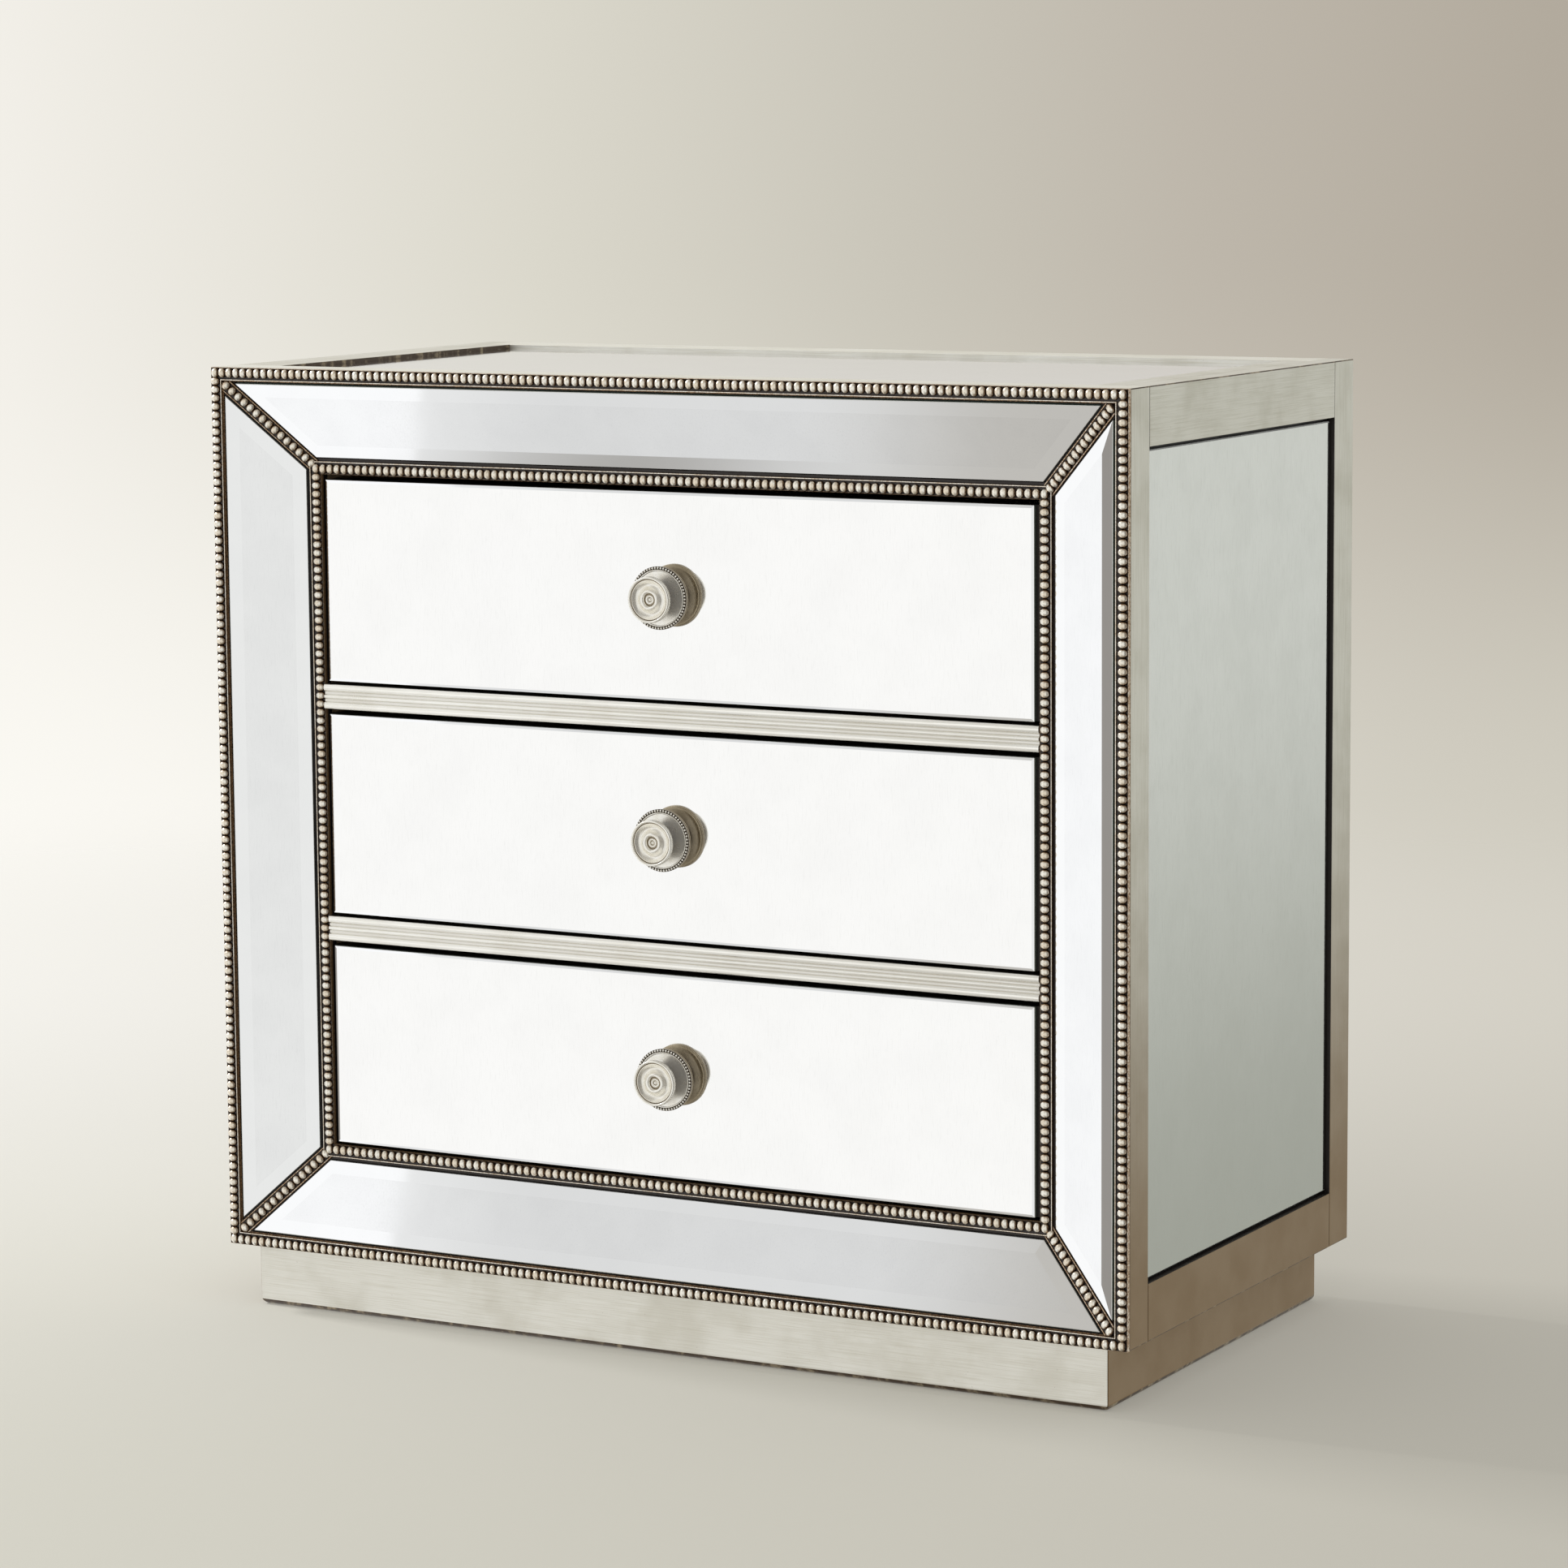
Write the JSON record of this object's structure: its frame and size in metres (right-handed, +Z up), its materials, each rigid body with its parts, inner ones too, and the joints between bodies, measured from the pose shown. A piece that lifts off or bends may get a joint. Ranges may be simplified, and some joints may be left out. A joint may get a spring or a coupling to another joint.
{
  "type": "mirrored nightstand",
  "caption": "Mirrored bedside chest: sliding mirrored drawers inside a sloped, bevelled mirror border with beaded trims, turned knobs, mirrored sides and an inset plinth.",
  "frame": {"origin": "middle of the footprint, on the floor", "axes": "+X to the chest's right as seen from the front, +Y to its back, +Z up; the drawers open towards -Y"},
  "size_m": [0.762, 0.406, 0.724],
  "materials": {
    "silver_leaf": "silver leaf over moulded wood, antiqued",
    "beaded_leaf": "carved beads in champagne silver leaf with a dark umber glaze",
    "clear_mirror": "bevelled silvered glass",
    "antiqued_mirror": "silvered glass, faintly antiqued",
    "black_board": "board painted matt black",
    "drawer_wood": "clear-lacquered hardwood",
    "zinc_steel": "zinc-plated",
    "knob_metal": "turned metal in antiqued champagne silver"
  },
  "bodies": {
    "case": {"plinth_front": "silver_leaf", "plinth_back": "silver_leaf", "plinth_sides": "silver_leaf", "bottom_board": "black_board", "back_panel": "black_board", "left_rails": "silver_leaf", "left_back_stile": "silver_leaf", "left_backing": "black_board", "left_mirror": "antiqued_mirror", "right_rails": "silver_leaf", "right_back_stile": "silver_leaf", "right_backing": "black_board", "right_mirror": "antiqued_mirror", "top_board": "black_board", "top_rim_ends": "silver_leaf", "top_rim_back": "silver_leaf", "top_mirror": "antiqued_mirror", "front_frame_top": "silver_leaf", "front_frame_right": "silver_leaf", "front_frame_bottom": "silver_leaf", "front_frame_left": "silver_leaf", "border_mirror_top": "clear_mirror", "border_mirror_right": "clear_mirror", "border_mirror_bottom": "clear_mirror", "border_mirror_left": "clear_mirror", "outer_bead_rows": "beaded_leaf", "outer_bead_columns": "beaded_leaf", "inner_bead_rows": "beaded_leaf", "inner_bead_columns": "beaded_leaf", "mitre_beads": "beaded_leaf", "upper_rail": "silver_leaf", "lower_rail": "silver_leaf", "upper_dust_board": "drawer_wood", "lower_dust_board": "drawer_wood", "inner_walls": "drawer_wood", "runner_channels": "zinc_steel"},
    "drawer_1": {"drawer_1_front": "black_board", "drawer_1_mirror": "clear_mirror", "drawer_1_sides": "drawer_wood", "drawer_1_back": "drawer_wood", "drawer_1_bottom": "drawer_wood", "drawer_1_runners": "zinc_steel", "drawer_1_knob": "knob_metal", "drawer_1_knob_screw": "zinc_steel"},
    "drawer_2": {"drawer_2_front": "black_board", "drawer_2_mirror": "clear_mirror", "drawer_2_sides": "drawer_wood", "drawer_2_back": "drawer_wood", "drawer_2_bottom": "drawer_wood", "drawer_2_runners": "zinc_steel", "drawer_2_knob": "knob_metal", "drawer_2_knob_screw": "zinc_steel"},
    "drawer_3": {"drawer_3_front": "black_board", "drawer_3_mirror": "clear_mirror", "drawer_3_sides": "drawer_wood", "drawer_3_back": "drawer_wood", "drawer_3_bottom": "drawer_wood", "drawer_3_runners": "zinc_steel", "drawer_3_knob": "knob_metal", "drawer_3_knob_screw": "zinc_steel"}
  },
  "joints": [
    {"name": "drawer_1_slide", "type": "slide", "parent": "case", "child": "drawer_1", "axis": [0, -1, 0], "range_m": [0, 0.25]},
    {"name": "drawer_2_slide", "type": "slide", "parent": "case", "child": "drawer_2", "axis": [0, -1, 0], "range_m": [0, 0.25]},
    {"name": "drawer_3_slide", "type": "slide", "parent": "case", "child": "drawer_3", "axis": [0, -1, 0], "range_m": [0, 0.25]}
  ]
}
